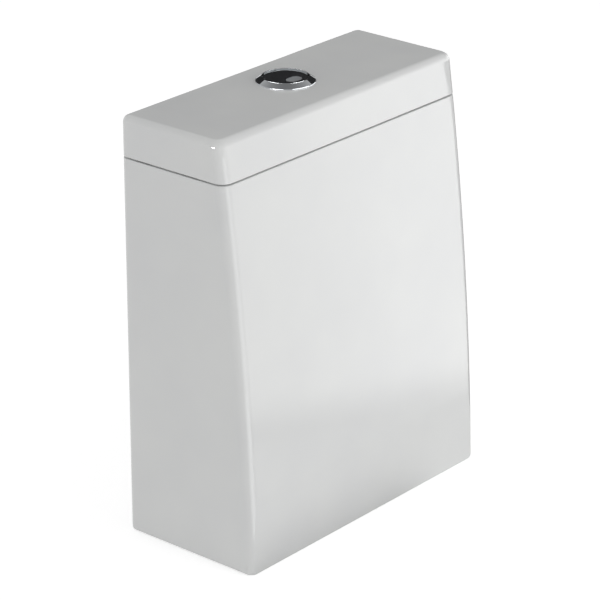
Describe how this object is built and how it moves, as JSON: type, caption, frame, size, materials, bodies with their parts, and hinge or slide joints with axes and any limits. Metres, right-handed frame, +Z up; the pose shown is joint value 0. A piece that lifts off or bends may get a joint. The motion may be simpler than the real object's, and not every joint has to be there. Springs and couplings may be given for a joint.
{
  "type": "toilet cistern",
  "caption": "Close-coupled ceramic toilet cistern with a curved front, lift-off lid and chrome dual-flush button, with its flush valve and float-cup fill valve inside.",
  "frame": {"origin": "centre of the foot's box, on the surface that the cistern stands on", "axes": "+Z up, +Y to the back, the curved front faces -Y"},
  "size_m": [0.364, 0.166, 0.4562],
  "materials": {
    "vitreous_china": "white glaze, gloss",
    "chrome": "bright chrome plate",
    "white_plastic": "moulded, satin",
    "blue_plastic": "moulded, satin",
    "float_plastic": "moulded, satin",
    "grey_plastic": "moulded, satin",
    "orange_plastic": "moulded, satin",
    "black_rubber": "moulded, matt",
    "gasket_foam": "closed-cell foam, matt",
    "red_silicone": "moulded, satin",
    "steel": "bright"
  },
  "bodies": {
    "tank_body": {"tank": "vitreous_china", "valve_base": "white_plastic", "base_washer": "black_rubber", "outlet_backnut": "white_plastic", "coupling_gasket": "gasket_foam", "valve_tower": "white_plastic", "valve_head": "white_plastic", "rocker_pins": "steel", "fill_shank": "white_plastic", "shank_washer": "black_rubber", "shank_nut": "white_plastic", "inlet_filter": "blue_plastic", "fill_riser": "white_plastic", "riser_lock_ring": "blue_plastic", "fill_head": "white_plastic", "diaphragm": "black_rubber", "head_cap": "grey_plastic", "lever_pin": "steel", "coupling_bolts": "steel", "bolt_rubber_washers": "black_rubber", "bolt_steel_washers": "steel", "bolt_nuts": "steel"},
    "lid_body": {"lid": "vitreous_china", "lid_pads": "black_rubber", "button_bezel": "chrome", "button_washer": "black_rubber", "button_nut": "white_plastic", "button_guide": "white_plastic", "full_spring": "steel", "half_spring": "steel"},
    "full_button": {"full_flush_button": "chrome", "full_push_rod": "white_plastic"},
    "half_button": {"half_flush_button": "chrome", "half_push_rod": "blue_plastic"},
    "full_rocker_body": {"full_rocker": "orange_plastic"},
    "half_rocker_body": {"half_rocker": "orange_plastic"},
    "flush_tube": {"overflow_tube": "blue_plastic", "seal_carrier": "blue_plastic", "flush_seal": "red_silicone", "full_flush_float": "float_plastic"},
    "half_float_body": {"half_flush_float": "float_plastic", "half_flush_link": "blue_plastic"},
    "float_body": {"float_cup": "float_plastic", "float_link": "blue_plastic"},
    "float_lever_body": {"float_lever": "white_plastic"}
  },
  "joints": [
    {"name": "lid_lift", "type": "slide", "parent": "tank_body", "child": "lid_body", "axis": [0, 0, 1], "range_m": [0, 0.15]},
    {"name": "full_flush_press", "type": "slide", "parent": "lid_body", "child": "full_button", "axis": [0, 0, -1], "range_m": [0, 0.007], "stiffness_N_per_m": 300, "springref_m": -0.005, "deforming": ["full_spring"]},
    {"name": "half_flush_press", "type": "slide", "parent": "lid_body", "child": "half_button", "axis": [0, 0, -1], "range_m": [0, 0.006], "stiffness_N_per_m": 250, "springref_m": -0.005, "deforming": ["half_spring"]},
    {"name": "full_rocker_tilt", "type": "hinge", "parent": "tank_body", "child": "full_rocker_body", "pos_m": [0.031, 0.028, 0.38], "axis": [0, -1, 0], "range_deg": [0, 24.7]},
    {"name": "half_rocker_tilt", "type": "hinge", "parent": "tank_body", "child": "half_rocker_body", "pos_m": [-0.029, 0.015, 0.38], "axis": [0, 1, 0], "range_deg": [0, 14.8]},
    {"name": "flush_tube_lift", "type": "slide", "parent": "tank_body", "child": "flush_tube", "axis": [0, 0, 1], "range_m": [0, 0.0106]},
    {"name": "half_float_lift", "type": "slide", "parent": "tank_body", "child": "half_float_body", "axis": [0, 0, 1], "range_m": [0, 0.0062]},
    {"name": "float_rise", "type": "slide", "parent": "tank_body", "child": "float_body", "axis": [0, 0, 1], "range_m": [0, 0.012]},
    {"name": "float_lever_tilt", "type": "hinge", "parent": "tank_body", "child": "float_lever_body", "pos_m": [-0.127, 0.005, 0.36], "axis": [0, -1, 0], "range_deg": [0, 23.75]}
  ],
  "couplings": [
    {"joint": "full_rocker_tilt", "follows": "full_flush_press", "rad_per_m": 61.43},
    {"joint": "flush_tube_lift", "follows": "full_flush_press", "ratio": 1.5},
    {"joint": "half_rocker_tilt", "follows": "half_flush_press", "rad_per_m": 42.7},
    {"joint": "half_float_lift", "follows": "half_flush_press", "ratio": 1.02},
    {"joint": "float_lever_tilt", "follows": "float_rise", "rad_per_m": 34.482}
  ]
}
